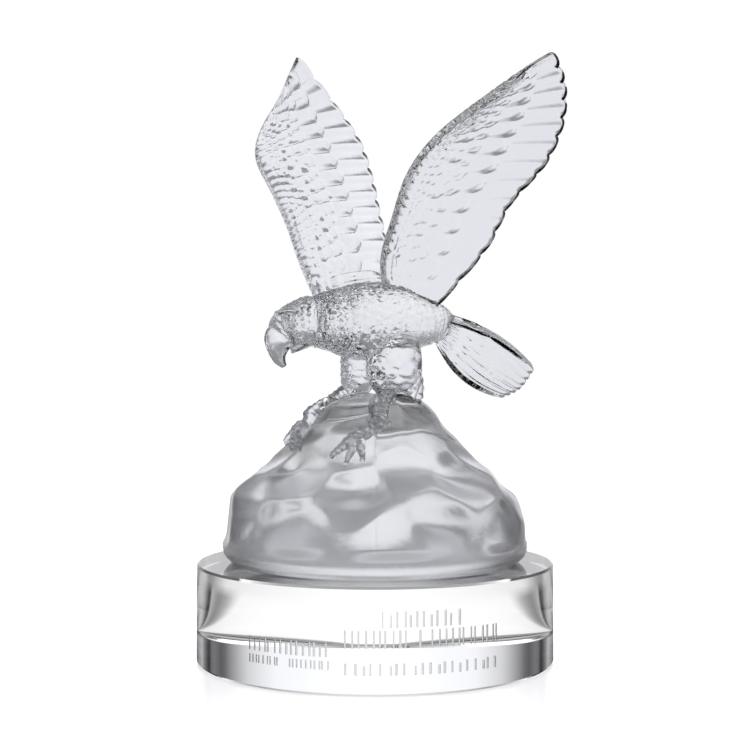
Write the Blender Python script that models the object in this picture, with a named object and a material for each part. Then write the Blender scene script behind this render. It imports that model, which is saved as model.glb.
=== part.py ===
"""A clear crystal eagle award: an eagle moulded in one with its rock, bonded to a round base.

The origin is the centre of the base's underside. The eagle's head is at -X, and the side that
an onlooker sees faces -Y. The eagle's pose and carving are shares of FIGURE, in hundredths.
"""

import math
import random

import bmesh
import bpy
import numpy as np
from mathutils import Vector

# Round base
BASE_DIAMETER = 0.140
BASE_HEIGHT = 0.0381
BASE_CHAMFER = 0.0008
BASE_SIDES = 64
BOND_GAP = 0.0003

# Rock
ROCK_DIAMETER = 0.120
ROCK_HEIGHT = 0.066
ROCK_RIM = 0.11
ROCK_FACETS = 42
FACET_DEPTH = 0.0026
FACET_HOLLOW = 0.045
FACET_TILT = 0.08
RIDGE_SOFTNESS = 0.00015
ROCK_AROUND = 48
ROCK_LEVELS = 11
# Ring heights of the rounded foot under the rim, and the lowest one of the chipped part
ROCK_FOOT_RINGS = (0.0, 0.025, 0.06)
CHIPS_FROM = 0.17
# The chips fade in above the rim over this height, and by this much towards the crown
CHIPS_FADE = 0.05
CROWN_CALM = 0.6
# The chips' centres lie between these height shares, closer together upwards
CHIPS_LOW = 0.10
CHIPS_SPAN = 0.86
CHIPS_CROWD = 0.85
# Half the height share over which the rock's slope is taken
SLOPE_STEP = 0.03
OUTLINE_STEPS = 89
# (radius, height) from the underside to the crown, as shares of the rock's own
ROCK_PROFILE = (
    (0.93, 0.0), (0.985, 0.045), (1.0, 0.12), (0.99, 0.28), (0.95, 0.42), (0.82, 0.53),
    (0.665, 0.645), (0.56, 0.74), (0.475, 0.81), (0.41, 0.885), (0.31, 0.96), (0.13, 1.0),
)
# (azimuth in degrees, height share, radius share, depth share) of the rock's larger hollows
ROCK_HOLLOWS = (
    (-138, 0.60, 0.13, 0.035), (-122, 0.40, 0.22, 0.045), (-98, 0.52, 0.22, 0.045),
    (-72, 0.34, 0.24, 0.040), (-55, 0.60, 0.20, 0.050), (-30, 0.40, 0.22, 0.050),
    (5, 0.50, 0.30, 0.065), (55, 0.35, 0.26, 0.055), (90, 0.62, 0.24, 0.060),
    (130, 0.45, 0.26, 0.055),
)

# Eagle: hundredths of FIGURE, from the rock's crown
FIGURE = 0.100
BODY_TURN = 36.0
HEAD_TURN = 14.0
WING_FEATHERS = 13
WING_LEADING = 3.4
WING_TRAILING = 1.5
WING_CAMBER = 0.07
FEATHER_RIDGE = 0.45
FEATHER_NOTCH = 1.5
COVERT_STEP = 0.35
COVERT_ROWS = (0.22, 0.43, 0.65)
ROW_EDGE = 0.012
ROW_SCALLOP = 0.04
# Chord shares of the rings that round the two edges of a blade
BLADE_EDGES = (0, 0.03, 0.11, 0.84, 0.97, 1.0)
OUTER_TAPER = 1.6
OUTER_THINNEST = 0.06
TAIL_FEATHERS = 7
TAIL_ROOT = 2.6
TAIL_TIP = 1.3
TARSUS_RADIUS = 2.4
TOE_RADIUS = 1.9
SOLE_LIFT = 1.6
# (share of the toe's length, lift off the rock, share of the toe's radius)
TOE_STATIONS = ((0, 1.4, 1.0), (0.28, 2.9, 1.05), (0.58, 1.9, 0.9), (0.85, 1.3, 0.62), (1, -0.4, 0.3))
# Each toe's root lies a little higher than the last one's
TOE_STAGGER = 0.17
CUFF_RADII = (3.0, 2.6, 2.2, 0.8)
BROW_RADII = (0.8, 1.3, 0.9)

PERCH = Vector((0, 0, BASE_HEIGHT + BOND_GAP + ROCK_HEIGHT))
SHARE = FIGURE / 100
CRYSTAL = (0.93, 0.95, 0.97, 1.0)


def at(x, y, z):
    """A point of the eagle, from its shares."""
    return PERCH + SHARE * Vector((x, y, z))


def across(turn):
    """The eagle's own left, level, where it is turned this many degrees to the onlooker."""
    angle = math.radians(turn)
    return Vector((math.sin(angle), -math.cos(angle), 0))


def spline(points, count):
    """Rows evenly spaced along a Catmull-Rom curve through the given rows."""
    rows = np.array(points, float)
    rows = np.vstack([2 * rows[0] - rows[1], rows, 2 * rows[-1] - rows[-2]])
    place = np.linspace(0, len(rows) - 3, count)
    i = np.minimum(place.astype(int), len(rows) - 4)
    t = (place - i)[:, None]
    a, b, c, d = rows[i], rows[i + 1], rows[i + 2], rows[i + 3]
    return b + 0.5 * t * (c - a + t * (2 * a - 5 * b + 4 * c - d + t * (3 * (b - c) + d - a)))


def crystal(name, roughness):
    """Clear lead-free crystal."""
    material = bpy.data.materials.new(name)
    material.use_nodes = True
    shader = material.node_tree.nodes["Principled BSDF"]
    shader.inputs["Base Color"].default_value = CRYSTAL
    shader.inputs["Roughness"].default_value = roughness
    shader.inputs["Metallic"].default_value = 0.0
    shader.inputs["IOR"].default_value = 1.52
    shader.inputs["Transmission Weight"].default_value = 1.0
    return material


def mesh_object(name, mesh):
    """Puts a bmesh in the scene as a named object, with its faces pointing out."""
    bmesh.ops.recalc_face_normals(mesh, faces=mesh.faces)
    data = bpy.data.meshes.new(name)
    mesh.to_mesh(data)
    mesh.free()
    made = bpy.data.objects.new(name, data)
    bpy.context.scene.collection.objects.link(made)
    return made


def close_ring(mesh, row):
    """Fills a ring by a strip that zigzags between its halves, so a thin curved one fills too."""
    strip = [row[(i + 1) // 2 * (1 if i % 2 else -1)] for i in range(len(row))]
    for corners in zip(strip, strip[1:], strip[2:]):
        mesh.faces.new(corners)


def skin(name, rings):
    """A closed object of triangles through rings of points, filled at both ends."""
    mesh = bmesh.new()
    rows = [[mesh.verts.new(point) for point in ring] for ring in rings]
    for low, high in zip(rows, rows[1:]):
        for i in range(len(low)):
            j = (i + 1) % len(low)
            mesh.faces.new((low[i], low[j], high[j]))
            mesh.faces.new((low[i], high[j], high[i]))
    close_ring(mesh, rows[0])
    close_ring(mesh, rows[-1])
    return mesh_object(name, mesh)


def loft(name, sections, rings, around):
    """A body through oval sections, each a centre, an upright half axis and a side half axis."""
    rows = spline([(*centre, *up, *side) for centre, up, side in sections], rings)
    turn = np.linspace(0, 2 * math.pi, around, endpoint=False)[:, None]
    return skin(name, [r[0:3] + np.cos(turn) * r[3:6] + np.sin(turn) * r[6:9] for r in rows])


def tube(name, points, radii, rings, around):
    """A round limb along points, with a radius at each."""
    rows = spline([(*point, radius) for point, radius in zip(points, radii)], rings)
    along = np.gradient(rows[:, :3], axis=0)
    made = []
    for row, heading in zip(rows, along):
        heading = Vector(heading).normalized()
        side = heading.cross(Vector((0, 0, 1)))
        side = side.normalized() if side.length > 1e-4 else Vector((1, 0, 0))
        up = side.cross(heading)
        radius = float(row[3])
        turns = (2 * math.pi * i / around for i in range(around))
        made.append([Vector(row[:3]) + (side * math.cos(a) + up * math.sin(a)) * radius for a in turns])
    return skin(name, made)


OUTLINE = spline(ROCK_PROFILE, OUTLINE_STEPS)


def rock_outline(height):
    """The plain rock's radius at a height share, in metres."""
    return ROCK_DIAMETER / 2 * float(np.interp(height, OUTLINE[:, 1], OUTLINE[:, 0]))


def plain_rock(azimuth, height):
    """A point of the plain rock, and the way its surface faces there."""
    z = BASE_HEIGHT + BOND_GAP + height * ROCK_HEIGHT
    radius = rock_outline(height)
    low, high = max(height - SLOPE_STEP, 0), min(height + SLOPE_STEP, ROCK_PROFILE[-1][1])
    rise = (high - low) * ROCK_HEIGHT
    fall = rock_outline(low) - rock_outline(high)
    outward = Vector((math.cos(azimuth), math.sin(azimuth), 0))
    facing = (outward * rise + Vector((0, 0, fall))).normalized()
    return outward * radius + Vector((0, 0, z)), facing


def rock_facets():
    """The chips on the rock, spread by the golden angle: a centre, a lean and a depth for each."""
    chance = random.Random(11)
    made = []
    for i in range(ROCK_FACETS):
        azimuth = i * math.pi * (3 - math.sqrt(5))
        height = CHIPS_LOW + CHIPS_SPAN * ((i + 0.5) / ROCK_FACETS) ** CHIPS_CROWD
        point, _ = plain_rock(azimuth, height)
        tilt = Vector([chance.uniform(-FACET_TILT, FACET_TILT) for _ in range(3)])
        made.append((point, tilt, FACET_DEPTH * chance.uniform(0.7, 1.2)))
    return made


def rock_hollows():
    """The larger hollows: a centre, a radius and a depth for each."""
    made = []
    for azimuth, height, radius, depth in ROCK_HOLLOWS:
        point, _ = plain_rock(math.radians(azimuth), height)
        made.append((point, radius * ROCK_DIAMETER / 2, depth * ROCK_DIAMETER / 2))
    return made


FACETS = rock_facets()
HOLLOWS = rock_hollows()


def rock_point(azimuth, height):
    """A point of the chipped rock at an azimuth and a height share, and the way it faces."""
    point, facing = plain_rock(azimuth, height)
    cuts = [0.0]
    for centre, tilt, depth in FACETS:
        away = point - centre
        cuts.append(depth + away.dot(tilt) - away.length_squared / (2 * FACET_HOLLOW))
    deepest = max(cuts)
    spread = sum(math.exp((c - deepest) / RIDGE_SOFTNESS) for c in cuts)
    cut = deepest + RIDGE_SOFTNESS * math.log(spread)
    for centre, radius, depth in HOLLOWS:
        cut += depth * math.exp(-2 * ((point - centre).length / radius) ** 2)
    keep = min(1.0, max(0.0, (height - ROCK_RIM) / CHIPS_FADE)) * (1 - CROWN_CALM * height ** 4)
    return point - facing * cut * keep, facing


def rock():
    """The chipped rock, rounded under its rim, with a flat underside."""
    top = ROCK_PROFILE[-1][1]
    heights = [*ROCK_FOOT_RINGS, ROCK_RIM, *np.linspace(CHIPS_FROM, top, ROCK_LEVELS)]
    turns = [2 * math.pi * i / ROCK_AROUND for i in range(ROCK_AROUND)]
    return skin("eagle_on_rock", [[rock_point(a, h)[0] for a in turns] for h in heights])


def body():
    """Breast, back and rump, from the neck to the root of the tail."""
    side = across(BODY_TURN)
    # (top, bottom, half width)
    stations = (
        ((-29, -20.5, 32.5), (-28, -20.5, 21.5), 5.5),
        ((-25, -19, 36.2), (-24, -18.5, 18.4), 8.6),
        ((-19, -15, 39), (-17.5, -13.5, 16.5), 10.5),
        ((-11.5, -9.5, 41.5), (-11, -9, 14), 12.5),
        ((-2, -2, 43.5), (-1, -1.5, 13.5), 13.5),
        ((9, 6, 42), (10, 6.5, 15.5), 13),
        ((19, 13, 37.5), (17.5, 12, 18), 11),
        ((25.5, 17, 35.5), (22.5, 15.5, 19.5), 8.5),
        ((30, 20, 32.5), (26.5, 18, 21), 5.5),
    )
    return loft("body", ovals(stations, side), 13, 16)


def shoulder():
    """The rounded shoulder feathers that lie over the far wing's root."""
    stations = (
        ((-22, -2, 43), (-22, -2, 36), 2.4),
        ((-15, 0, 46.5), (-15, 0, 37.5), 3.6),
        ((-8, 3, 48), (-8, 3, 38.5), 3.8),
        ((-1, 6.5, 48.5), (-1.5, 6.5, 39.5), 3.2),
        ((3, 9, 46.5), (2.5, 9, 41), 2),
    )
    return loft("shoulder", ovals(stations, across(BODY_TURN)), 7, 12)


def ovals(stations, side):
    """Sections for loft() from top points, bottom points and half widths in shares."""
    made = []
    for top, bottom, width in stations:
        top, bottom = at(*top), at(*bottom)
        made.append(((top + bottom) / 2, (top - bottom) / 2, side * width * SHARE))
    return made


def head():
    """The feathered head, turned further to the side than the body."""
    stations = (
        ((-19.5, -14.5, 36.5), (-20.5, -15, 18.5), 8.2),
        ((-26.5, -19, 37.2), (-26.5, -19, 17.8), 9),
        ((-31.5, -21.5, 35), (-30, -21, 18.3), 7.6),
        ((-35.5, -23, 32.6), (-32, -22, 20.5), 5.8),
        ((-38.3, -23.8, 30), (-34.5, -23, 23.5), 3.4),
    )
    return loft("head", ovals(stations, across(HEAD_TURN)), 8, 14)


def brow(side):
    """The ridge over one eye. side is 1 on the onlooker's side and -1 on the far one."""
    out = across(HEAD_TURN) * side * SHARE
    points = [
        at(-37.2, -23.5, 30.8) + out * 3,
        at(-33.2, -22.2, 31.3) + out * 5.4,
        at(-28.5, -20.5, 30.6) + out * 6.6,
    ]
    return tube(f"brow_{side}", points, [radius * SHARE for radius in BROW_RADII], 5, 7)


def beak():
    """The hooked bill, from the cere to its point."""
    stations = (
        ((-33, -21.5, 32.5), (-28.5, -20.5, 19), 5.6),
        ((-37.8, -22.7, 30.8), (-29.5, -21.7, 18.8), 5.4),
        ((-40.4, -23.5, 26.4), (-30.3, -22.5, 18.6), 4.9),
        ((-41.9, -24, 21.5), (-31.6, -23, 18), 4.3),
        ((-41.3, -24, 17.6), (-32.8, -23.4, 16.6), 3.5),
        ((-39.8, -24, 14.2), (-33.8, -23.8, 14.3), 2.6),
        ((-37.8, -24, 11.5), (-33.9, -24, 12.6), 1.8),
        ((-35.2, -24, 9.7), (-33.4, -24, 11), 0.9),
    )
    return loft("beak", ovals(stations, across(HEAD_TURN)), 11, 12)


def jaw():
    """The lower half of the bill, closed behind the hook."""
    stations = (
        ((-26, -19.5, 21), (-25.5, -19.3, 17.5), 4.6),
        ((-29.5, -21.5, 19.5), (-28.8, -21.3, 16.2), 3.6),
        ((-32, -22.8, 17.6), (-31.6, -22.7, 15.2), 2.1),
    )
    return loft("jaw", ovals(stations, across(HEAD_TURN)), 5, 10)


def thigh(name, stations):
    """A feathered thigh. Each station is a centre, a half length and a half width in shares."""
    ahead = across(BODY_TURN + 90) * SHARE
    aside = across(BODY_TURN) * SHARE
    sections = [(at(*centre), ahead * length, aside * width) for centre, length, width in stations]
    return loft(name, sections, 8, 14)


def thighs():
    """Both thighs, the near one further back."""
    near = (
        ((8, -1, 24), 10, 7.5),
        ((7.8, -4, 16), 11.6, 8.6),
        ((7.6, -5.5, 9), 12.2, 8.8),
        ((8, -7, 3), 10.6, 7.6),
        ((9, -8.5, -2), 7.4, 5.6),
        ((9.2, -10, -6), 3.8, 3.4),
    )
    far = (
        ((-5, 4, 23), 9, 7.5),
        ((-5.3, 3, 15), 8.8, 7.4),
        ((-5.8, 2, 9), 8.2, 6.8),
        ((-6.4, 1, 3.5), 7.4, 5.6),
        ((-7.2, 0, -1), 4.6, 3.8),
        ((-7, -0.5, -5), 2, 1.8),
    )
    cuff = [at(15, -2, 10), at(16.6, -4.5, 2), at(15.8, -6, -4), at(13.8, -7, -9)]
    radii = [radius * SHARE for radius in CUFF_RADII]
    return [thigh("thigh_near", near), thigh("thigh_far", far), tube("cuff", cuff, radii, 6, 8)]


def foot_point(azimuth, height, lift):
    """A point over the rock, lifted off its surface by shares of the figure."""
    point, facing = rock_point(math.radians(azimuth), height)
    return point + facing * lift * SHARE


def foot(name, ankle, knee, heel, centre, toes):
    """A bare shank from its ankle to the rock, and four toes that grip the rock.

    centre and each toe's tip are an azimuth in degrees and a height share of the rock.
    """
    sole = foot_point(*centre, SOLE_LIFT)
    shank = [at(*ankle), at(*knee), at(*heel), sole]
    radius = TARSUS_RADIUS * SHARE
    made = [tube(name + "_shank", shank, [radius * 1.2, radius, radius * 1.1, radius * 1.1], 7, 8)]
    for i, tip in enumerate(toes):
        path = []
        for share, lift, _ in TOE_STATIONS:
            azimuth = centre[0] + (tip[0] - centre[0]) * share
            height = centre[1] + (tip[1] - centre[1]) * share
            path.append(foot_point(azimuth, height, lift + TOE_STAGGER * i * (1 - share)))
        sizes = [TOE_RADIUS * SHARE * size for _, _, size in TOE_STATIONS]
        made.append(tube(f"{name}_toe_{i + 1}", path, sizes, 6, 6))
    return made


def feet():
    """The near foot on the rock's front and the far foot on its shoulder."""
    near = foot(
        "near", (6.5, -11, 0.5), (3.2, -22.5, -3.8), (1.2, -29.5, -11), (-101, 0.775),
        ((-117, 0.665), (-106, 0.64), (-96.5, 0.65), (-76, 0.86)),
    )
    far = foot(
        "far", (-8.5, -1.2, 3.5), (-15.5, -3.6, -2), (-23.5, -5.2, -7.5), (-168, 0.83),
        ((-155, 0.69), (-141, 0.69), (-180, 0.70), (-178, 0.97)),
    )
    return near + far


def blade_thickness(chord, thick, thin, width):
    """Half thickness of a blade at chord shares, round at both edges. width is its chord."""
    plain = thick + (thin - thick) * chord ** 0.6
    nose = np.sqrt(np.clip(1 - (1 - np.clip(chord * width / thick, 0, 1)) ** 2, 0, 1))
    tail = np.sqrt(np.clip(1 - (1 - np.clip((1 - chord) * width / thin, 0, 1)) ** 2, 0, 1))
    return plain * np.minimum(nose, tail)


def blade(name, leading, trailing, feathers, thick, thin, camber, per_feather=3, bow=(0, 0, 0)):
    """A feathered blade between two edges, such as a wing or a fanned tail.

    Each line from the leading edge to the trailing edge follows a feather's shaft. Its two faces
    have a ridge for each feather and steps where the rows of covert feathers end.
    """
    count = feathers * per_feather + 1
    edge_a = spline([at(*point) for point in leading], count)
    edge_b = spline([at(*point) for point in trailing], count)
    rings = []
    for i in range(count):
        ridge = math.sin(math.pi * (i % per_feather) / per_feather) ** 0.7
        rows = [row - ROW_SCALLOP * (1 - ridge) for row in COVERT_ROWS]
        steps = [*BLADE_EDGES, *(row + side for row in rows for side in (-ROW_EDGE, ROW_EDGE))]
        chord = np.array(sorted(steps))[:, None]
        start, end = edge_a[i], edge_b[i]
        shaft = end - start
        width = float(np.linalg.norm(shaft))
        end = end - shaft / width * (1 - ridge) * FEATHER_NOTCH * SHARE
        low, high = max(0, i - 1), min(count - 1, i + 1)
        normal = np.cross(edge_a[high] + edge_b[high] - edge_a[low] - edge_b[low], shaft)
        normal /= np.linalg.norm(normal)
        arch = 4 * chord * (1 - chord)
        middle = start + (end - start) * chord + normal * camber * width * arch
        middle += np.array(bow) * SHARE * arch * (2 * i / (count - 1) - 1)
        half = blade_thickness(chord, thick * SHARE, thin * SHARE, width)
        cover = sum((chord < row) * COVERT_STEP for row in rows)
        relief = (cover + FEATHER_RIDGE * (ridge - 0.6) * np.clip(chord * 6, 0, 1)) * SHARE
        half = half + relief * np.clip(half / (thin * SHARE), 0, 1)
        outer = max(0, 1 - (count - 1 - i) / per_feather * OUTER_TAPER)
        half = half * math.sqrt(max(OUTER_THINNEST, 1 - outer ** 2))
        upper, lower = middle + normal * half, middle - normal * half
        rings.append(np.vstack([upper, lower[-2:0:-1]]))
    return skin(name, rings)


def wings():
    """Both wings, raised in a V: leading and trailing edges from the shoulder to the tip."""
    near = blade(
        "wing_near",
        (
            (4.5, -2, 34), (2.5, -9, 51), (7, -13, 67.5), (12.5, -17, 83.5),
            (22, -19, 96.5), (35.5, -21, 107), (49.5, -22, 115.5),
        ),
        (
            (25, 10, 34), (45, 13, 57.5), (55, 12, 76), (68.5, 7, 91.5),
            (74.5, -2, 106.5), (74, -11, 120), (68.5, -20, 131),
        ),
        WING_FEATHERS, WING_LEADING, WING_TRAILING, WING_CAMBER,
    )
    far = blade(
        "wing_far",
        (
            (-22, -3, 34), (-30, 3, 52), (-35.5, 8, 67.5), (-41.5, 12, 80.5),
            (-48.5, 17, 95), (-47, 22, 107), (-39, 29, 123),
        ),
        (
            (-1, 8, 34), (4.5, 21, 58), (2, 28, 74), (-1, 32, 89),
            (-6, 35, 104), (-16.5, 35, 120), (-32, 31, 140),
        ),
        WING_FEATHERS, WING_LEADING, WING_TRAILING, -WING_CAMBER,
    )
    return [near, far]


def tail():
    """The fanned tail, sloping down behind the rump, with its near side raised."""
    return blade(
        "tail",
        ((25, 12, 31), (24.5, 15.5, 27), (24, 19, 22)),
        ((66.5, 29, 9.5), (61.5, 37, 1.5), (54, 44, -2.5)),
        TAIL_FEATHERS, TAIL_ROOT, TAIL_TIP, 0.03, 2, (-2.5, 2, -4),
    )


def join(solid, others):
    """Fuses the others into the solid. They stay in the file as hidden helpers."""
    for other in others:
        other.hide_render = True
        other.display_type = "WIRE"
        union = solid.modifiers.new("with_" + other.name, "BOOLEAN")
        union.operation = "UNION"
        union.solver = "MANIFOLD"
        union.object = other


def round_base():
    """The plain polished disc, with a fine chamfer on both edges."""
    mesh = bmesh.new()
    bmesh.ops.create_cone(
        mesh, cap_ends=True, segments=BASE_SIDES, depth=BASE_HEIGHT,
        radius1=BASE_DIAMETER / 2, radius2=BASE_DIAMETER / 2,
    )
    bmesh.ops.translate(mesh, verts=mesh.verts, vec=(0, 0, BASE_HEIGHT / 2))
    rims = [edge for edge in mesh.edges if abs(edge.verts[0].co.z - edge.verts[1].co.z) < 1e-6]
    bmesh.ops.bevel(mesh, geom=rims, offset=BASE_CHAMFER, segments=1, affect="EDGES")
    return mesh_object("crystal_base", mesh)


def main():
    for existing in list(bpy.data.objects):
        bpy.data.objects.remove(existing)
    base = round_base()
    base.data.materials.append(crystal("polished_crystal", 0.02))
    eagle = rock()
    eagle.data.materials.append(crystal("moulded_crystal", 0.05))
    face = [head(), brow(1), brow(-1), beak(), jaw()]
    join(eagle, [body(), shoulder(), *face, *thighs(), *feet(), *wings(), tail()])
    for piece in (base, eagle):
        piece.data.shade_smooth()
        piece.data.set_sharp_from_angle(angle=math.radians(35))


main()
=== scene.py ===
"""The crystal eagle award's looks: the fine carving, the polished base, the crystal and the studio."""

import math
import random

import bmesh
import bpy
import numpy as np
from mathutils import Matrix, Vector


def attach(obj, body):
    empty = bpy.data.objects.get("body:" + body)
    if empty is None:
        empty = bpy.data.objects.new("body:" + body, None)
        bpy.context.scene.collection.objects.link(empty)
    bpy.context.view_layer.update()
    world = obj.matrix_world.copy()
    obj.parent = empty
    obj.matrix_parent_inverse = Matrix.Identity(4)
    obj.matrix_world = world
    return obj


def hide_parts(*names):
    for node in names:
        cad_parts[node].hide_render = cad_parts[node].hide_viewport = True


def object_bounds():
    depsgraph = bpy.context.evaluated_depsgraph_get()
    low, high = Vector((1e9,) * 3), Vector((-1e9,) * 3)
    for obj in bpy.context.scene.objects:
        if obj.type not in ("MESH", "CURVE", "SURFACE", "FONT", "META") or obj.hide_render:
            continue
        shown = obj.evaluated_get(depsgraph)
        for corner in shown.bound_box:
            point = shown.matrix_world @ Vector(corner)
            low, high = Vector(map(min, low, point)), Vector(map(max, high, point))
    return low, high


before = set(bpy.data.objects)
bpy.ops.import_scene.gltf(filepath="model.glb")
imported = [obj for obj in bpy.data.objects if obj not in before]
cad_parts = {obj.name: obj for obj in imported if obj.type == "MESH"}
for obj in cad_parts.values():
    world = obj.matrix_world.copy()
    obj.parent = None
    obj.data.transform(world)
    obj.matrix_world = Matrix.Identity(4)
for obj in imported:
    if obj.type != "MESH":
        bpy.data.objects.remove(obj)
cad_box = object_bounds()

# Sizes in metres, the same as the solids'
BASE_RADIUS = 0.070
BASE_HEIGHT = 0.0381
BASE_CHAMFER = 0.0008
BOND_GAP = 0.0003
ROCK_RADIUS = 0.060
ROCK_HEIGHT = 0.066
FIGURE = 0.100
SHARE = FIGURE / 100
PERCH = np.array([0, 0, BASE_HEIGHT + BOND_GAP + ROCK_HEIGHT])


def at(x, y, z):
    return PERCH + SHARE * np.array([x, y, z], float)


def across(turn):
    angle = math.radians(turn)
    return np.array([math.sin(angle), -math.cos(angle), 0])


def spline(points, count):
    """Rows evenly spaced along a Catmull-Rom curve through the given rows."""
    rows = np.array(points, float)
    rows = np.vstack([2 * rows[0] - rows[1], rows, 2 * rows[-1] - rows[-2]])
    place = np.linspace(0, len(rows) - 3, count)
    i = np.minimum(place.astype(int), len(rows) - 4)
    t = (place - i)[:, None]
    a, b, c, d = rows[i], rows[i + 1], rows[i + 2], rows[i + 3]
    return b + 0.5 * t * (c - a + t * (2 * a - 5 * b + 4 * c - d + t * (3 * (b - c) + d - a)))


def chance(a, b):
    """A repeatable number from 0 to 1 for a pair of whole numbers."""
    mixed = np.sin(a * 12.9898 + b * 78.233) * 43758.5453
    return mixed - np.floor(mixed)


def add_object(name, data):
    made = bpy.data.objects.new(name, data)
    bpy.context.scene.collection.objects.link(made)
    return made


def object_of(name, mesh):
    """A new object from a bmesh, which it frees."""
    data = bpy.data.meshes.new(name)
    mesh.to_mesh(data)
    mesh.free()
    return add_object(name, data)


def new_object(name, verts, faces):
    data = bpy.data.meshes.new(name)
    data.from_pydata([tuple(v) for v in verts], [], faces)
    data.update()
    mesh = bmesh.new()
    mesh.from_mesh(data)
    bmesh.ops.recalc_face_normals(mesh, faces=mesh.faces)
    mesh.to_mesh(data)
    mesh.free()
    return add_object(name, data)


def skin(name, rings):
    """A closed object through rings of points, given as an array (rings, around, 3)."""
    rings = np.asarray(rings, float)
    count, around = rings.shape[:2]
    faces = []
    for r in range(count - 1):
        low, high = r * around, (r + 1) * around
        for i in range(around):
            j = (i + 1) % around
            faces.append((low + i, low + j, high + j, high + i))
    first = len(rings.reshape(-1, 3))
    verts = np.vstack([rings.reshape(-1, 3), rings[0].mean(axis=0), rings[-1].mean(axis=0)])
    last = (count - 1) * around
    for i in range(around):
        j = (i + 1) % around
        faces.append((first, j, i))
        faces.append((first + 1, last + i, last + j))
    return new_object(name, verts, faces)


def plumage(along, round_, rows, columns, sweep=0.35):
    """Relief of overlapping small feathers, from 0 at a root to 1 at a tip.

    along runs from 0 to 1 towards the tips and round_ from 0 to 1 across them. Each feather
    tip is round, and it overlaps the next row's roots.
    """
    best = np.zeros(np.broadcast(along, round_).shape)
    for shift in (0, 1):
        row = np.floor(along * rows) - shift
        offset = 0.5 * np.mod(row, 2)
        place = round_ * columns + offset
        column = np.floor(place)
        middle = 2 * (place - column) - 1
        length = 1 + sweep + 0.25 * chance(row, column)
        reach = (along * rows - row) / (length * (1 - 0.35 * middle ** 2))
        crown = np.sqrt(np.clip(1 - middle ** 2, 0, 1))
        lift = np.clip(reach, 0, 1) * crown * (0.75 + 0.5 * chance(column, row + 7))
        best = np.maximum(best, np.where(reach < 1, lift, 0))
    return best


def loft(name, sections, rings, around, relief=None):
    """A body through oval sections: a centre, an upright half axis and a side half axis.

    relief gives the height of the surface's carving, in metres, from shares along and round it.
    """
    rows = spline([(*centre, *up, *side) for centre, up, side in sections], rings)
    turn = np.linspace(0, 2 * math.pi, around, endpoint=False)[None, :]
    centre, up, side = (rows[:, None, k : k + 3] for k in (0, 3, 6))
    arm = np.cos(turn)[..., None] * up + np.sin(turn)[..., None] * side
    if relief is not None:
        along = np.linspace(0, 1, rings)[:, None]
        height = relief(along, np.broadcast_to(turn / (2 * math.pi), (rings, around)))
        length = np.maximum(np.linalg.norm(arm, axis=2, keepdims=True), 1e-5)
        arm = arm * (1 + height[..., None] / length)
    return skin(name, centre + arm)


def tube(name, points, radii, rings, around, wrinkles=0, depth=0.12):
    """A round limb along points, with a radius at each and rounded rings of scutes."""
    rows = spline([(*point, radius) for point, radius in zip(points, radii)], rings)
    along = np.gradient(rows[:, :3], axis=0)
    made = []
    for k, (row, heading) in enumerate(zip(rows, along)):
        heading = Vector(heading).normalized()
        side = heading.cross(Vector((0, 0, 1)))
        side = side.normalized() if side.length > 1e-4 else Vector((1, 0, 0))
        up = side.cross(heading)
        turns = np.linspace(0, 2 * math.pi, around, endpoint=False)[:, None]
        wave = abs(math.sin(math.pi * wrinkles * k / (rings - 1))) - 0.6
        swell = 1 + depth * wave if wrinkles else 1
        made.append(row[:3] + (np.cos(turns) * side + np.sin(turns) * up) * row[3] * swell)
    return skin(name, made)


def ovals(stations, side):
    made = []
    for top, bottom, width in stations:
        top, bottom = at(*top), at(*bottom)
        made.append(((top + bottom) / 2, (top - bottom) / 2, side * width * SHARE))
    return made


# Rock
# (share of the radius, share of the height)
ROCK_PROFILE = (
    (0.93, 0.0), (0.985, 0.045), (1.0, 0.12), (0.99, 0.28), (0.95, 0.42), (0.82, 0.53),
    (0.665, 0.645), (0.56, 0.74), (0.475, 0.81), (0.41, 0.885), (0.31, 0.96), (0.13, 1.0),
)
# (azimuth in degrees, height share, radius share, depth share)
ROCK_HOLLOWS = (
    (-138, 0.60, 0.13, 0.035), (-122, 0.40, 0.22, 0.045), (-98, 0.52, 0.22, 0.045),
    (-72, 0.34, 0.24, 0.040), (-55, 0.60, 0.20, 0.050), (-30, 0.40, 0.22, 0.050),
    (5, 0.50, 0.30, 0.065), (55, 0.35, 0.26, 0.055), (90, 0.62, 0.24, 0.060),
    (130, 0.45, 0.26, 0.055),
)
ROCK_RIM = 0.11
ROCK_FACETS = 42
FACET_DEPTH = 0.0026
FACET_HOLLOW = 0.045
FACET_TILT = 0.08
RIDGE_SOFTNESS = 0.00022
OUTLINE_STEPS = 89
OUTLINE = spline(ROCK_PROFILE, OUTLINE_STEPS)
SLOPE_STEP = 0.03
# (azimuth in degrees, height share) of the ledge over the rock's front
LEDGE = (
    (-152, 0.80), (-144, 0.845), (-109, 0.875), (-97, 0.90), (-92, 0.82), (-88, 0.775),
    (-70, 0.788), (-50, 0.80), (-28, 0.76), (-14, 0.72),
)
LEDGE_DEPTH = 0.0013
SEAM_HEIGHT = 0.00016
SEAM_WIDTH = 0.45
SEAM_TURNS = (-2.2, -1.1, -0.5, 0, 0.5, 1.1, 2.2)
RIM_LEVELS = (0.0, 0.006, 0.016, 0.03, 0.045, 0.06, 0.08)


def rock_outline(height):
    return ROCK_RADIUS * np.interp(height, OUTLINE[:, 1], OUTLINE[:, 0])


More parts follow.
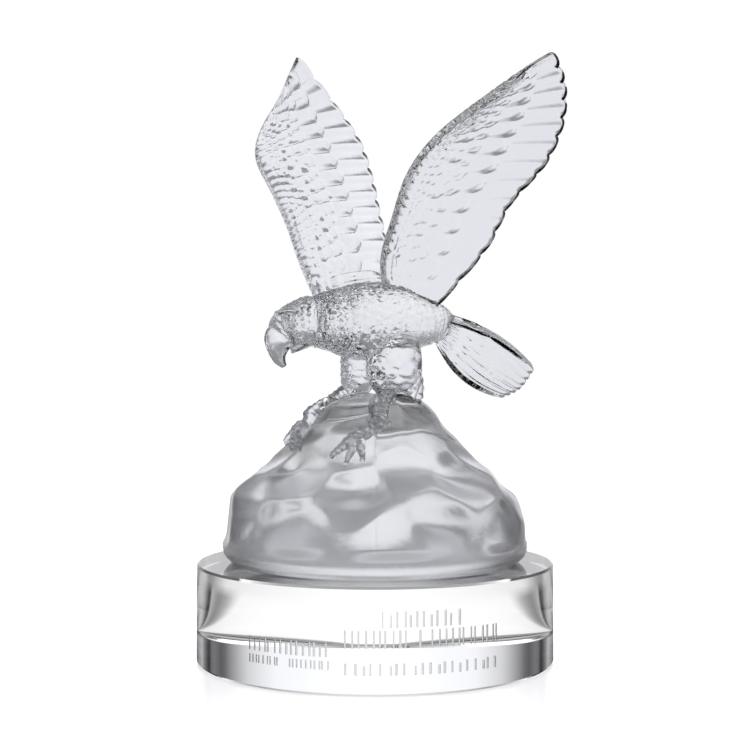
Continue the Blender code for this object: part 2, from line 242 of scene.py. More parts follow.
def rock_lines(azimuth, height):
    """How deep the rock's front is cut over its ledge, less the fine seam of its mould."""
    turn = np.degrees(azimuth)
    turn = np.mod(turn + 180, 360) - 180
    places, heights = zip(*LEDGE)
    over = height - np.interp(turn, places, heights)
    edge = np.clip(over / 0.014, 0, 1) * np.exp(-np.clip(over - 0.03, 0, 1) / 0.07)
    ends = np.clip((turn - LEDGE[0][0]) / 8, 0, 1) * np.clip((LEDGE[-1][0] - turn) / 8, 0, 1)
    seam = np.exp(-(((turn + 90) / SEAM_WIDTH) ** 2)) * np.clip((height - 0.12) / 0.05, 0, 1)
    return LEDGE_DEPTH * edge * ends - SEAM_HEIGHT * seam


def plain_rock(azimuth, height):
    """Points of the plain rock and their outward directions, for arrays of places."""
    azimuth, height = np.broadcast_arrays(np.asarray(azimuth, float), np.asarray(height, float))
    z = BASE_HEIGHT + BOND_GAP + height * ROCK_HEIGHT
    low, high = np.maximum(height - SLOPE_STEP, 0), np.minimum(height + SLOPE_STEP, 1)
    rise = (high - low) * ROCK_HEIGHT
    fall = rock_outline(low) - rock_outline(high)
    out = np.stack([np.cos(azimuth), np.sin(azimuth), 0 * azimuth], -1)
    facing = out * rise[..., None] + np.stack([0 * fall, 0 * fall, fall], -1)
    facing /= np.linalg.norm(facing, axis=-1, keepdims=True)
    return out * rock_outline(height)[..., None] + np.stack([0 * z, 0 * z, z], -1), facing


def rock_facets():
    dice = random.Random(11)
    made = []
    for i in range(ROCK_FACETS):
        azimuth = i * math.pi * (3 - math.sqrt(5))
        height = 0.10 + 0.86 * ((i + 0.5) / ROCK_FACETS) ** 0.85
        point, _ = plain_rock(azimuth, height)
        tilt = np.array([dice.uniform(-FACET_TILT, FACET_TILT) for _ in range(3)])
        made.append((point, tilt, FACET_DEPTH * dice.uniform(0.7, 1.2)))
    return made


FACETS = rock_facets()


def rock_points(azimuth, height):
    point, facing = plain_rock(azimuth, height)
    cuts = [np.zeros(point.shape[:-1])]
    for centre, tilt, depth in FACETS:
        away = point - centre
        cuts.append(depth + away @ tilt - (away ** 2).sum(-1) / (2 * FACET_HOLLOW))
    cuts = np.stack(cuts)
    deepest = cuts.max(axis=0)
    cut = deepest + RIDGE_SOFTNESS * np.log(np.exp((cuts - deepest) / RIDGE_SOFTNESS).sum(axis=0))
    for a, h, radius, depth in ROCK_HOLLOWS:
        centre, _ = plain_rock(math.radians(a), h)
        away = np.linalg.norm(point - centre, axis=-1) / (radius * ROCK_RADIUS)
        cut = cut + depth * ROCK_RADIUS * np.exp(-2 * away ** 2)
    keep = np.clip((height - ROCK_RIM) / 0.05, 0, 1) * (1 - 0.6 * height ** 4)
    cut = cut * keep + rock_lines(azimuth, height)
    return point - facing * cut[..., None], facing


def rock():
    around, levels = ((200, 92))
    heights = np.concatenate([RIM_LEVELS, np.linspace(0.1, 1, levels - len(RIM_LEVELS))])
    turns = np.linspace(-math.pi, math.pi, around, endpoint=False)
    seam = np.radians(-90 + SEAM_WIDTH * np.array(SEAM_TURNS))
    away = np.abs(turns[:, None] - seam).min(axis=1)
    turns = np.sort(np.concatenate([turns[away > math.radians(0.7)], seam]))
    points, _ = rock_points(turns[None, :], heights[:, None])
    return skin("rock", points)


# Eagle's body
def body():
    stations = (
        ((-29, -20.5, 32.5), (-28, -20.5, 21.5), 5.5),
        ((-25, -19, 36.2), (-24, -18.5, 18.4), 8.6),
        ((-19, -15, 39), (-17.5, -13.5, 16.5), 10.5),
        ((-11.5, -9.5, 41.5), (-11, -9, 14), 12.5),
        ((-2, -2, 43.5), (-1, -1.5, 13.5), 13.5),
        ((9, 6, 42), (10, 6.5, 15.5), 13),
        ((19, 13, 37.5), (17.5, 12, 18), 11),
        ((25.5, 17, 35.5), (22.5, 15.5, 19.5), 8.5),
        ((30, 20, 32.5), (26.5, 18, 21), 5.5),
    )

    def feathers(along, round_):
        return 0.00075 * plumage(along, round_, 21, 26) - 0.0003

    return loft("body", ovals(stations, across(36)), 170, 240, feathers)


def shoulder():
    stations = (
        ((-22, -2, 43), (-22, -2, 36), 2.4),
        ((-15, 0, 46.5), (-15, 0, 37.5), 3.6),
        ((-8, 3, 48), (-8, 3, 38.5), 3.8),
        ((-1, 6.5, 48.5), (-1.5, 6.5, 39.5), 3.2),
        ((3, 9, 46.5), (2.5, 9, 41), 2),
    )

    def barbs(along, round_):
        return 0.0002 * np.sin(2 * math.pi * 16 * round_ + 3 * along)

    return loft("shoulder", ovals(stations, across(36)), 60, 120, barbs)


def head():
    stations = (
        ((-19.5, -14.5, 36.5), (-20.5, -15, 18.5), 8.2),
        ((-26.5, -19, 37.2), (-26.5, -19, 17.8), 9),
        ((-31.5, -21.5, 35), (-30, -21, 18.3), 7.6),
        ((-35.5, -23, 32.6), (-32, -22, 20.5), 5.8),
        ((-38.3, -23.8, 30), (-34.5, -23, 23.5), 3.4),
    )

    def feathers(along, round_):
        return 0.00055 * plumage(1 - along, round_, 8, 24) - 0.0002

    return loft("head", ovals(stations, across(14)), 90, 160, feathers)


# (way outwards, radius) along an eye, in hundredths of the figure
EYE_ROUND = ((-1.7, 0.3), (-0.9, 1.5), (0, 1.8), (0.9, 1.5), (1.7, 0.3))


def face():
    """Brows, eyes and the two halves of the bill."""
    made = []
    for side in (1, -1):
        out = across(14) * side * SHARE
        line = [
            at(-37.2, -23.5, 30.8) + out * 3,
            at(-33.2, -22.2, 31.3) + out * 5.4,
            at(-28.5, -20.5, 30.6) + out * 6.6,
        ]
        made.append(tube("brow", line, [0.8 * SHARE, 1.3 * SHARE, 0.9 * SHARE], 20, 16))
        eye = at(-33.4, -22.2, 28.6) + out * 5.3
        ends = [eye + out * reach for reach, _ in EYE_ROUND]
        made.append(tube("eye", ends, [radius * SHARE for _, radius in EYE_ROUND], 16, 20))
    stations = (
        ((-33, -21.5, 32.5), (-28.5, -20.5, 19), 5.6),
        ((-37.8, -22.7, 30.8), (-29.5, -21.7, 18.8), 5.4),
        ((-40.4, -23.5, 26.4), (-30.3, -22.5, 18.6), 4.9),
        ((-41.9, -24, 21.5), (-31.6, -23, 18), 4.3),
        ((-41.3, -24, 17.6), (-32.8, -23.4, 16.6), 3.5),
        ((-39.8, -24, 14.2), (-33.8, -23.8, 14.3), 2.6),
        ((-37.8, -24, 11.5), (-33.9, -24, 12.6), 1.8),
        ((-35.2, -24, 9.7), (-33.4, -24, 11), 0.9),
    )

    def cere(along, round_):
        """The groove where the cere ends, and the nostrils."""
        side = np.minimum(np.abs(round_ - 0.25), np.abs(round_ - 0.75))
        nostril = np.exp(-((along - 0.235) / 0.03) ** 2 - (side / 0.05) ** 2)
        return -0.0005 * np.exp(-((along - 0.31) / 0.022) ** 2) - 0.0008 * nostril

    made.append(loft("beak", ovals(stations, across(14)), 100, 72, cere))
    jaw = (
        ((-26, -19.5, 21), (-25.5, -19.3, 17.5), 4.6),
        ((-29.5, -21.5, 19.5), (-28.8, -21.3, 16.2), 3.6),
        ((-32, -22.8, 17.6), (-31.6, -22.7, 15.2), 2.1),
    )
    made.append(loft("jaw", ovals(jaw, across(14)), 24, 32))
    return made


def thighs():
    near = (
        ((8, -1, 24), 10, 7.5),
        ((7.8, -4, 16), 11.6, 8.6),
        ((7.6, -5.5, 9), 12.2, 8.8),
        ((8, -7, 3), 10.6, 7.6),
        ((9, -8.5, -2), 7.4, 5.6),
        ((9.2, -10, -6), 3.8, 3.4),
    )
    far = (
        ((-5, 4, 23), 9, 7.5),
        ((-5.3, 3, 15), 8.8, 7.4),
        ((-5.8, 2, 9), 8.2, 6.8),
        ((-6.4, 1, 3.5), 7.4, 5.6),
        ((-7.2, 0, -1), 4.6, 3.8),
        ((-7, -0.5, -5), 2, 1.8),
    )

    def feathers(along, round_):
        # The front of the near thigh is worn smooth
        rough = np.clip(1.2 - 2.2 * np.exp(-((np.mod(round_ + 0.12, 1) - 0.30) / 0.16) ** 2), 0.12, 1)
        return 0.00065 * plumage(along, round_, 11, 16) * rough - 0.0002

    made = []
    for name, stations in (("thigh_near", near), ("thigh_far", far)):
        ahead, aside = across(126) * SHARE, across(36) * SHARE
        sections = [(at(*centre), ahead * long, aside * wide) for centre, long, wide in stations]
        made.append(loft(name, sections, 100, 120, feathers))
    cuff = [at(15, -2, 10), at(16.6, -4.5, 2), at(15.8, -6, -4), at(13.8, -7, -9)]
    made.append(tube("cuff", cuff, [3 * SHARE, 2.6 * SHARE, 2.2 * SHARE, 0.8 * SHARE], 40, 24, 7, 0.2))
    return made


def foot_point(azimuth, height, lift):
    point, facing = rock_points(np.array(math.radians(azimuth)), np.array(height))
    return point + facing * lift * SHARE


# (share of the toe's length, lift off the rock, share of the toe's radius), as in the solids
TOE_STATIONS = ((0, 1.4, 1.0), (0.28, 2.9, 1.05), (0.58, 1.9, 0.9), (0.85, 1.3, 0.62), (1, -0.4, 0.3))
TOE_STAGGER = 0.17


def foot(ankle, knee, heel, centre, toes):
    shank = [at(*ankle), at(*knee), at(*heel), foot_point(*centre, 1.6)]
    radius = 2.4 * SHARE
    radii = [radius * 1.2, radius, radius * 1.1, radius * 1.1]
    made = [tube("shank", shank, radii, 90, 28, 12, 0.26)]
    for i, tip in enumerate(toes):
        path = []
        for share, lift, _ in TOE_STATIONS:
            azimuth = centre[0] + (tip[0] - centre[0]) * share
            height = centre[1] + (tip[1] - centre[1]) * share
            path.append(foot_point(azimuth, height, lift + TOE_STAGGER * i * (1 - share)))
        sizes = [1.9 * SHARE * size for _, _, size in TOE_STATIONS]
        made.append(tube("toe", path, sizes, 72, 24, 7, 0.28))
    return made


def feet():
    near = foot(
        (6.5, -11, 0.5), (3.2, -22.5, -3.8), (1.2, -29.5, -11), (-101, 0.775),
        ((-117, 0.665), (-106, 0.64), (-96.5, 0.65), (-76, 0.86)),
    )
    far = foot(
        (-8.5, -1.2, 3.5), (-15.5, -3.6, -2), (-23.5, -5.2, -7.5), (-168, 0.83),
        ((-155, 0.69), (-141, 0.69), (-180, 0.70), (-178, 0.97)),
    )
    return near + far


# Wings and tail
WING_FEATHERS = 13
WING_THICK = 3.4
WING_THIN = 1.5
WING_CAMBER = 0.07


def blade_thickness(chord, thick, thin, width):
    plain = thick + (thin - thick) * chord ** 0.6
    nose = np.sqrt(np.clip(1 - (1 - np.clip(chord * width / thick, 0, 1)) ** 2, 0, 1))
    tail = np.sqrt(np.clip(1 - (1 - np.clip((1 - chord) * width / thin, 0, 1)) ** 2, 0, 1))
    return plain * np.minimum(nose, tail)


def feather_rows(shaft, chord, rows):
    """Relief of rows of covert feathers and of the flight feathers, in shares of the figure.

    shaft counts the flight feathers along the wing, and chord runs from 0 at the leading edge
    to 1 at the trailing edge. rows are (start, end, feathers per flight feather, height).
    """
    total = np.zeros(np.broadcast(shaft, chord).shape)
    for k, (start, end, density, height) in enumerate(rows):
        place = shaft * density + 0.5 * (k % 2)
        column = np.floor(place)
        middle = 2 * (place - column) - 1
        reach_end = end + (end - start) * 0.22 * (chance(column, k + 3) - 0.5) * (density > 1)
        tip = reach_end - (0.06 if density <= 1 else 0.35 * (end - start)) * middle ** 2
        rise = np.clip((chord - start) / (end - start), 0, 1)
        crown = 0.25 + 0.75 * np.sqrt(np.clip(1 - middle ** 2, 0, 1))
        lift = height * crown * (0.35 + 0.65 * rise)
        lift = lift - 0.18 * height * np.exp(-((middle / 0.14) ** 2)) * (density <= 1.3)
        total = np.where((chord < tip) & (chord >= start), np.maximum(total, lift), total)
        total = np.where(chord < start, np.maximum(total, height * 0.35), total)
    return total


WING_ROWS = (
    (0.00, 0.07, 2.6, 0.8), (0.05, 0.12, 2.4, 1.0), (0.10, 0.17, 2.2, 1.0),
    (0.15, 0.225, 2.0, 1.05), (0.20, 0.33, 1.6, 1.1), (0.29, 0.45, 1.3, 1.1),
    (0.41, 0.66, 1.0, 1.1), (0.6, 1.2, 1.0, 1.05),
)
# The far wing's feathers stand out more in the photo
FAR_RELIEF = 1.8
FAR_WING_ROWS = tuple((*row[:3], row[3] * FAR_RELIEF) for row in WING_ROWS)


def blade(
    name, leading, trailing, feathers, thick, thin, camber, per_feather, chords, rows, bow=(0, 0, 0)
):
    """A wing or the tail between two edges, with feather tips along the trailing one.

    thick and thin are its half thickness at the leading and trailing edge, in hundredths of
    the figure. per_feather and chords say how fine its mesh is, and bow curves its outer end.
    """
    count = feathers * per_feather + 1
    edge_a = spline([at(*point) for point in leading], count)
    edge_b = spline([at(*point) for point in trailing], count)
    shaft_place = np.linspace(0, feathers, count)
    inside = np.mod(shaft_place, 1)
    ridge = np.sin(math.pi * inside) ** 0.7
    chord = (1 - np.cos(np.linspace(0, math.pi, chords))) / 2
    chord = 0.35 * chord + 0.65 * np.linspace(0, 1, chords)
    rings = []
    for i in range(count):
        start, end = edge_a[i], edge_b[i]
        along = end - start
        width = float(np.linalg.norm(along))
        end = end - along / width * (1 - ridge[i]) * 1.5 * SHARE
        low, high = max(0, i - 2), min(count - 1, i + 2)
        normal = np.cross(edge_a[high] + edge_b[high] - edge_a[low] - edge_b[low], along)
        normal /= np.linalg.norm(normal)
        c = chord[:, None]
        arch = 4 * c * (1 - c)
        middle = start + (end - start) * c + normal * camber * width * arch
        middle = middle + np.array(bow) * SHARE * arch * (2 * i / (count - 1) - 1)
        half = blade_thickness(c, thick * SHARE, thin * SHARE, width)
        relief = feather_rows(np.full_like(c, shaft_place[i]), c, rows) - 0.25
        half = half + relief * SHARE * np.clip(half / (thin * SHARE), 0, 1)
        outer = max(0.0, 1 - (count - 1 - i) / per_feather * 1.6)
        half = half * math.sqrt(max(0.06, 1 - outer ** 2))
        upper, lower = middle + normal * half, middle - normal * half
        rings.append(np.vstack([upper, lower[-2:0:-1]]))
    return skin(name, np.array(rings))


def wings():
    fineness = ((9, 70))
    near = blade(
        "wing_near",
        (
            (4.5, -2, 34), (2.5, -9, 51), (7, -13, 67.5), (12.5, -17, 83.5), (22, -19, 96.5),
            (35.5, -21, 107), (49.5, -22, 115.5),
        ),
        (
            (25, 10, 34), (45, 13, 57.5), (55, 12, 76), (68.5, 7, 91.5), (74.5, -2, 106.5),
            (74, -11, 120), (68.5, -20, 131),
        ),
        WING_FEATHERS, WING_THICK, WING_THIN, WING_CAMBER, *fineness, WING_ROWS,
    )
    far = blade(
        "wing_far",
        (
            (-22, -3, 34), (-30, 3, 52), (-35.5, 8, 67.5), (-41.5, 12, 80.5), (-48.5, 17, 95),
            (-47, 22, 107), (-39, 29, 123),
        ),
        (
            (-1, 8, 34), (4.5, 21, 58), (2, 28, 74), (-1, 32, 89), (-6, 35, 104),
            (-16.5, 35, 120), (-32, 31, 140),
        ),
        WING_FEATHERS, WING_THICK, WING_THIN, -WING_CAMBER, *fineness, FAR_WING_ROWS,
    )
    return [near, far]


TAIL_ROWS = ((0.0, 0.22, 1.6, 0.7), (0.16, 0.38, 1.3, 0.6), (0.3, 1.2, 1.0, 0.85))


def tail():
    return blade(
        "tail",
        ((25, 12, 31), (24.5, 15.5, 27), (24, 19, 22)),
        ((66.5, 29, 9.5), (61.5, 37, 1.5), (54, 44, -2.5)),
        7, 2.6, 1.3, 0.03, 10, 44, TAIL_ROWS, (-2.5, 2, -4),
    )


# The voxels that fuse the body, and the share of their faces that is kept
VOXEL, KEEP = 0.00042, 0.42


def baked(obj):
    """Turns an object's modifiers into its mesh."""
    graph = bpy.context.evaluated_depsgraph_get()
    data = bpy.data.meshes.new_from_object(obj.evaluated_get(graph))
    obj.modifiers.clear()
    obj.data = data
    return obj


def merged(name, parts):
    """One object that holds the meshes of several."""
    mesh = bmesh.new()
    for part in parts:
        mesh.from_mesh(part.data)
        bpy.data.objects.remove(part)
    return object_of(name, mesh)


def casting():
    """The eagle and its rock as one closed surface."""
    parts = [body(), shoulder(), head(), *face(), *thighs(), *feet()]
    core = merged("eagle_casting", parts)
    remesh = core.modifiers.new("fuse", "REMESH")
    remesh.mode = "VOXEL"
    remesh.voxel_size = VOXEL
    smooth = core.modifiers.new("settle", "SMOOTH")
    smooth.factor = 0.4
    smooth.iterations = 1
    thin = core.modifiers.new("thin", "DECIMATE")
    thin.ratio = KEEP
    baked(core)
    for other in (*wings(), tail(), rock()):
        union = core.modifiers.new("join", "BOOLEAN")
        union.operation = "UNION"
        union.solver = "MANIFOLD"
        union.object = other
        baked(core)
        bpy.data.objects.remove(other)
    for vert in core.data.vertices:
        vert.co = [min(max(v, low), high) for v, low, high in zip(vert.co, *cad_box)]
    core.data.shade_smooth()
    return core


# Base
# (start degrees, end degrees, lowest, highest, stroke pitch, word lengths) of the rows of strokes
STROKE_ROWS = (
    (1.5, 26.0, 0.0240, 0.0296, 0.0024, (8,)),
    (-9.5, 40.0, 0.0168, 0.0230, 0.0024, (5, 1, 7)),
    (-9.0, 39.5, 0.0074, 0.0114, 0.0030, (15,)),
    (-40.5, -13.0, 0.0134, 0.0184, 0.0022, (9,)),
    (-40.5, -13.0, 0.0090, 0.0120, 0.0016, (6, 1, 7)),
)
STROKE_DEPTH = 0.0003
# Every third stroke is shorter by this share
STROKE_SHORT = (0.0, 0.0, 0.22)
DISC_SIDES = 360
# Columns of the disc's side stay this far off the strokes' edges, in radians
COLUMN_GAP = 0.004
TOP_BAND = 0.004


def strokes():
    """Shallow upright strokes in rows: (start angle, end angle, lowest, highest) of each."""
    made = []
    for row, (start, end, low, high, pitch, words) in enumerate(STROKE_ROWS):
        start, end = math.radians(start - 90), math.radians(end - 90)
        slots = max(1, round((end - start) * BASE_RADIUS / pitch))
        step = (end - start) / slots
        gap_after = {round(slots * sum(words[: k + 1]) / sum(words)) for k in range(len(words) - 1)}
        for i in range(slots):
            if i in gap_after:
                continue
            wide = step * (0.2 + 0.14 * float(chance(i, row + 2)))
            left = start + step * i + step * 0.5 * float(chance(row + 5, i))
            short = (high - low) * STROKE_SHORT[i * (row + 2) % 3]
            made.append((left, left + wide, low, high - short))
    return made


def crystal_base():
    """The disc, with its chamfers and the strokes pressed into its side."""
    marks = strokes()
    angles = list(np.linspace(-math.pi, math.pi, DISC_SIDES, endpoint=False))
    edges = sorted({round(a, 6) for mark in marks for a in mark[:2]})
    kept = [a for a in angles if all(abs(a - e) > COLUMN_GAP for e in edges)]
    angles = sorted(kept + edges)
    chamfers = {BASE_CHAMFER, BASE_HEIGHT - BASE_CHAMFER}
    levels = sorted({round(z, 5) for mark in marks for z in mark[2:]} | chamfers)
    where_a = {round(a, 6): i for i, a in enumerate(angles)}
    where_z = {round(z, 5): i for i, z in enumerate(levels)}
    sunk = {}
    for m, (a, b, low, high) in enumerate(marks):
        for i in range(where_a[round(a, 6)], where_a[round(b, 6)]):
            for j in range(where_z[round(low, 5)], where_z[round(high, 5)]):
                sunk[i, j] = m
    mesh = bmesh.new()
    count = len(angles)

    def ring(radius, z):
        return [mesh.verts.new((radius * math.cos(a), radius * math.sin(a), z)) for a in angles]

    rows = [ring(BASE_RADIUS, z) for z in levels]
    deep = {}

    def floor_vert(m, i, j):
        key = (m, i, j)
        if key not in deep:
            a, z, r = angles[i], levels[j], BASE_RADIUS - STROKE_DEPTH
            deep[key] = mesh.verts.new((r * math.cos(a), r * math.sin(a), z))
        return deep[key]

    for j in range(len(levels) - 1):
        for i in range(count):
            k = (i + 1) % count
            if (i, j) not in sunk:
                mesh.faces.new((rows[j][i], rows[j][k], rows[j + 1][k], rows[j + 1][i]))
                continue
            m = sunk[i, j]
            corners = ((i, j), (k, j), (k, j + 1), (i, j + 1))
            face = mesh.faces.new([floor_vert(m, *c) for c in corners])
            face.material_index = 1
            beyond = ((i, j - 1), (i + 1, j), (i, j + 1), (i - 1, j))
            for side in range(4):
                if sunk.get(beyond[side]) == m:
                    continue
                p, q = corners[side], corners[(side + 1) % 4]
                outer = (rows[p[1]][p[0]], rows[q[1]][q[0]])
                wall = mesh.faces.new((*outer, floor_vert(m, *q), floor_vert(m, *p)))
                wall.material_index = 1
    lower, upper = rows[0], rows[-1]
    inset = BASE_RADIUS - BASE_CHAMFER
    for edge_row, z, flip in ((lower, 0.0, True), (upper, BASE_HEIGHT, False)):
        rim = ring(inset, z)
        inner = ring(inset - TOP_BAND, z)
        centre = mesh.verts.new((0, 0, z))
        for i in range(count):
            k = (i + 1) % count
            for face in (
                (edge_row[i], edge_row[k], rim[k], rim[i]),
                (rim[i], rim[k], inner[k], inner[i]),
                (inner[i], inner[k], centre),
            ):
                mesh.faces.new(face[::-1] if flip else face)
    bmesh.ops.recalc_face_normals(mesh, faces=mesh.faces)
    made = object_of("base_disc", mesh)
    made.data.shade_smooth()
    made.data.set_sharp_from_angle(angle=math.radians(25))
    return made


# Materials
IOR = 1.52
# The satin finish starts just under the rock's top and is full this much lower
SATIN_FROM, SATIN_FULL = 0.001, -0.012


def crystal(name, color, roughness, ripple, ripple_scale, satin=0.0):
    """Clear crystal with a slight unevenness of its polish, and satin on the rock."""
    material = bpy.data.materials.new(name)
    material.use_nodes = True
    nodes, links = material.node_tree.nodes, material.node_tree.links
    shader = nodes["Principled BSDF"]
    shader.inputs["Base Color"].default_value = (*color, 1)
    shader.inputs["IOR"].default_value = IOR
    shader.inputs["Transmission Weight"].default_value = 1.0
    place = nodes.new("ShaderNodeTexCoord")
    noise = nodes.new("ShaderNodeTexNoise")
    noise.inputs["Scale"].default_value = ripple_scale
    noise.inputs["Detail"].default_value = 2.0
    links.new(place.outputs["Object"], noise.inputs["Vector"])
    spread = nodes.new("ShaderNodeMapRange")
    spread.inputs["To Min"].default_value = roughness * 0.6
    spread.inputs["To Max"].default_value = roughness * 1.4
    links.new(noise.outputs["Fac"], spread.inputs["Value"])
    polish = spread.outputs["Result"]
    if satin:
        split = nodes.new("ShaderNodeSeparateXYZ")
        links.new(place.outputs["Object"], split.inputs["Vector"])
        low = nodes.new("ShaderNodeMapRange")
        low.inputs["From Min"].default_value = PERCH[2] + SATIN_FROM
        low.inputs["From Max"].default_value = PERCH[2] + SATIN_FULL
        low.inputs["To Max"].default_value = satin
        links.new(split.outputs["Z"], low.inputs["Value"])
        polish = add_math(nodes, links, "ADD", polish, low.outputs["Result"])
    links.new(polish, shader.inputs["Roughness"])
    bump = nodes.new("ShaderNodeBump")
    bump.inputs["Strength"].default_value = ripple
    bump.inputs["Distance"].default_value = 0.0005
    links.new(noise.outputs["Fac"], bump.inputs["Height"])
    links.new(bump.outputs["Normal"], shader.inputs["Normal"])
    return material


def frosted(name):
    """Etched crystal: fine pits that scatter the light."""
    material = crystal(name, (0.95, 0.95, 0.96), 0.45, 0.4, 2600)
    shader = material.node_tree.nodes["Principled BSDF"]
    shader.inputs["Transmission Weight"].default_value = 0.85
    return material


# Brightness of the table as the crystal sees it, by the way off straight behind the base, as shares
# of 180 degrees: a lit backdrop, shade at its sides, a black band at 0.28 and a darker front
SIDES_TABLE = (
    (0.0, 1.0), (0.145, 0.95), (0.165, 0.69), (0.175, 0.54), (0.19, 0.40), (0.21, 0.29),
    (0.228, 0.25), (0.245, 0.33), (0.266, 0.45), (0.278, 0.0), (0.292, 0.0), (0.305, 0.13),
    (0.325, 0.35), (0.36, 0.6), (0.39, 0.5), (0.44, 0.15), (0.60, 0.15), (0.67, 0.03),
    (0.90, 0.03), (0.95, 0.5), (1.0, 0.5),
)
# The same farther off the middle, blended in from FAR_FROM to FAR_TO metres
SIDES_FAR = (
    (0.0, 1.0), (0.2, 0.8), (0.27, 0.3), (0.295, 0.25), (0.33, 0.6), (0.55, 0.3), (0.64, 0.1),
    (0.88, 0.1), (0.94, 0.7), (1.0, 0.7),
)
FAR_FROM, FAR_TO = 0.165, 0.20
# The same just over the horizon, and for the studio's upper half
SIDES_HORIZON = (
    (0.0, 1.0), (0.12, 0.95), (0.143, 0.83), (0.172, 0.68), (0.203, 0.40), (0.235, 0.16),
    (0.251, 0.11), (0.28, 0.19), (0.296, 0.16), (0.31, 0.0), (0.322, 0.0), (0.335, 0.08),
    (0.35, 0.17), (0.37, 0.5), (0.40, 0.4), (0.45, 0.45), (0.55, 0.45), (0.62, 0.2),
    (0.68, 0.3), (0.76, 0.3), (0.82, 0.1), (0.88, 0.1), (0.94, 0.85), (1.0, 0.85),
)
SIDES_HIGH = (
    (0.0, 0.33), (0.15, 0.36), (0.22, 0.75), (0.28, 1.4), (0.45, 1.5), (0.60, 0.8), (0.75, 0.35),
    (0.88, 0.6), (1.0, 0.55),
)
# (share of the way from straight down to straight up, share of the upper half's brightness)
RISE = ((0.0, 0.0), (0.615, 0.0), (0.695, 1.0), (1.0, 1.0))
STUDIO_LIGHT = 1.12
COOL, PLAIN = (0.965, 0.965, 1.0), (1, 1, 1)
FLOOR_RADIUS = 4.0
FLOOR_GAP = 0.0002
# The camera fitted to the photo, dipped by an angle in radians
CAMERA_PLACE = (0, -0.580, 0.1166)
CAMERA_DIP = 0.009
SENSOR_MM = 36
LENS_MM = 70.5


def add_ramp(nodes, links, source, stops, tint=COOL):
    """Brightness by a share, through stops of (share, brightness)."""
    node = nodes.new("ShaderNodeValToRGB")
    elements = node.color_ramp.elements
    elements[0].position, elements[1].position = stops[0][0], stops[-1][0]
    for place, _ in stops[1:-1]:
        elements.new(place)
    for element, (_, value) in zip(elements, stops):
        element.color = (value * tint[0], value * tint[1], value * tint[2], 1)
    links.new(source, node.inputs["Fac"])
    return node.outputs["Color"]


def add_math(nodes, links, operation, *inputs):
    node = nodes.new("ShaderNodeMath")
    node.operation = operation
    for i, value in enumerate(inputs):
        if isinstance(value, (int, float)):
            node.inputs[i].default_value = value
        else:
            links.new(value, node.inputs[i])
    return node.outputs[0]


def add_turn(nodes, links, split, behind=0.0):
    """Share of 180 degrees off straight behind, from a point that far behind the middle."""
    aside = add_math(nodes, links, "ABSOLUTE", split.outputs["X"])
    along = add_math(nodes, links, "SUBTRACT", split.outputs["Y"], behind)
    turn = add_math(nodes, links, "ARCTAN2", aside, along)
    return add_math(nodes, links, "DIVIDE", turn, math.pi)


def pale_floor():
    """A table top that is white lacquer to the camera, and graded by place to the crystal."""
    material = bpy.data.materials.new("pale_floor")
    material.use_nodes = True
    nodes, links = material.node_tree.nodes, material.node_tree.links
    white = nodes["Principled BSDF"]
    white.inputs["Base Color"].default_value = (0.88, 0.88, 0.88, 1)
    white.inputs["Roughness"].default_value = 0.12
    white.inputs["Specular IOR Level"].default_value = 0.35
    white.inputs["Emission Color"].default_value = (1, 1, 1, 1)
    white.inputs["Emission Strength"].default_value = 0.5
    place = nodes.new("ShaderNodeTexCoord")
    split = nodes.new("ShaderNodeSeparateXYZ")
    links.new(place.outputs["Object"], split.inputs["Vector"])
    turn = add_turn(nodes, links, split, BASE_RADIUS)
    graded = nodes.new("ShaderNodeEmission")
    far = nodes.new("ShaderNodeVectorMath")
    far.operation = "LENGTH"
    links.new(place.outputs["Object"], far.inputs[0])
    reach = nodes.new("ShaderNodeMapRange")
    reach.inputs["From Min"].default_value = FAR_FROM
    reach.inputs["From Max"].default_value = FAR_TO
    links.new(far.outputs["Value"], reach.inputs["Value"])
    both = nodes.new("ShaderNodeMix")
    both.data_type = "RGBA"
    links.new(reach.outputs["Result"], both.inputs["Factor"])
    links.new(add_ramp(nodes, links, turn, SIDES_TABLE, PLAIN), both.inputs["A"])
    links.new(add_ramp(nodes, links, turn, SIDES_FAR, PLAIN), both.inputs["B"])
    links.new(both.outputs["Result"], graded.inputs["Color"])
    graded.inputs["Strength"].default_value = STUDIO_LIGHT
    seen = nodes.new("ShaderNodeLightPath")
    mix = nodes.new("ShaderNodeMixShader")
    links.new(seen.outputs["Is Camera Ray"], mix.inputs["Fac"])
    links.new(graded.outputs[0], mix.inputs[1])
    links.new(white.outputs[0], mix.inputs[2])
    links.new(mix.outputs[0], nodes["Material Output"].inputs["Surface"])
    return material


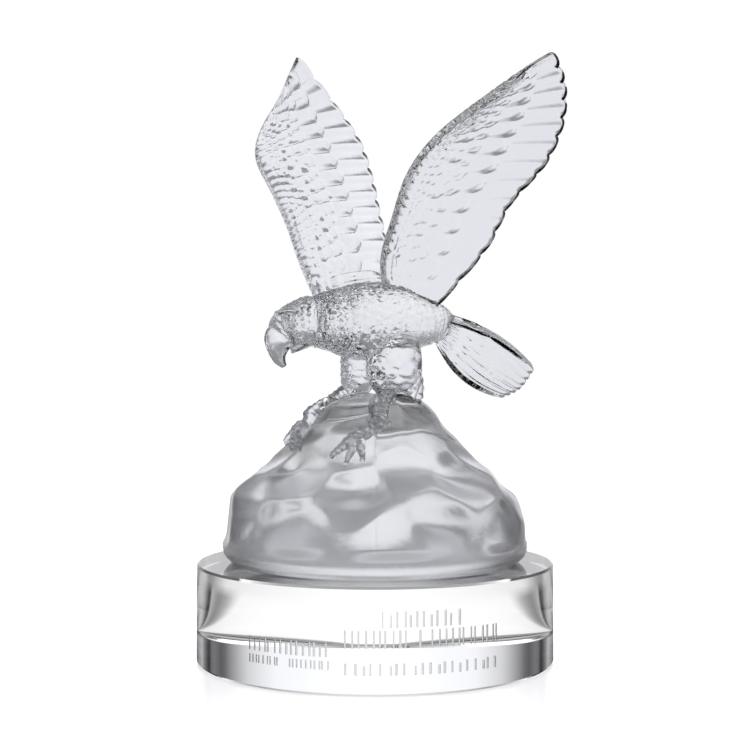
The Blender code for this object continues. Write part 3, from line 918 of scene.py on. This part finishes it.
def surround():
    """A studio that is white to the camera, and graded by direction to the crystal."""
    world = bpy.data.worlds.new("studio")
    world.use_nodes = True
    nodes, links = world.node_tree.nodes, world.node_tree.links
    nodes.clear()
    place = nodes.new("ShaderNodeTexCoord")
    split = nodes.new("ShaderNodeSeparateXYZ")
    links.new(place.outputs["Generated"], split.inputs["Vector"])
    turn = add_turn(nodes, links, split)
    height = add_math(nodes, links, "MULTIPLY_ADD", split.outputs["Z"], 0.5, 0.5)
    both = nodes.new("ShaderNodeMix")
    both.data_type = "RGBA"
    links.new(add_ramp(nodes, links, height, RISE, PLAIN), both.inputs["Factor"])
    links.new(add_ramp(nodes, links, turn, SIDES_HORIZON), both.inputs["A"])
    links.new(add_ramp(nodes, links, turn, SIDES_HIGH), both.inputs["B"])
    soft = nodes.new("ShaderNodeBackground")
    links.new(both.outputs["Result"], soft.inputs["Color"])
    soft.inputs["Strength"].default_value = STUDIO_LIGHT
    plain = nodes.new("ShaderNodeBackground")
    plain.inputs["Color"].default_value = (1, 1, 1, 1)
    seen = nodes.new("ShaderNodeLightPath")
    mix = nodes.new("ShaderNodeMixShader")
    links.new(seen.outputs["Is Camera Ray"], mix.inputs["Fac"])
    links.new(soft.outputs[0], mix.inputs[1])
    links.new(plain.outputs[0], mix.inputs[2])
    out = nodes.new("ShaderNodeOutputWorld")
    links.new(mix.outputs[0], out.inputs["Surface"])
    bpy.context.scene.world = world


def studio():
    """A pale floor, the surround and the camera."""
    bpy.context.scene.view_settings.view_transform = "Standard"
    mesh = bmesh.new()
    bmesh.ops.create_circle(mesh, cap_ends=True, segments=64, radius=FLOOR_RADIUS)
    floor = object_of("floor", mesh)
    floor.data.materials.append(pale_floor())
    floor.location.z = -FLOOR_GAP
    surround()
    camera = add_object("camera", bpy.data.cameras.new("camera"))
    camera.data.sensor_width = SENSOR_MM
    camera.data.lens = LENS_MM
    camera.data.clip_start = 0.01
    camera.location = CAMERA_PLACE
    camera.rotation_euler = (math.pi / 2 - CAMERA_DIP, 0, 0)
    bpy.context.scene.camera = camera


eagle = casting()
eagle.data.materials.clear()
disc = crystal_base()
eagle.data.materials.append(crystal("moulded_crystal", (0.77, 0.78, 0.805), 0.02, 0.12, 420, 0.24))
disc.data.materials.append(crystal("polished_crystal", (0.985, 0.99, 0.985), 0.004, 0.0, 60))
disc.data.materials.append(frosted("etched_crystal"))
for piece, node, slot in (
    (eagle, "eagle_on_rock", "moulded_crystal"),
    (disc, "crystal_base", "polished_crystal"),
):
    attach(piece, "root")
    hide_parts(node)
studio()
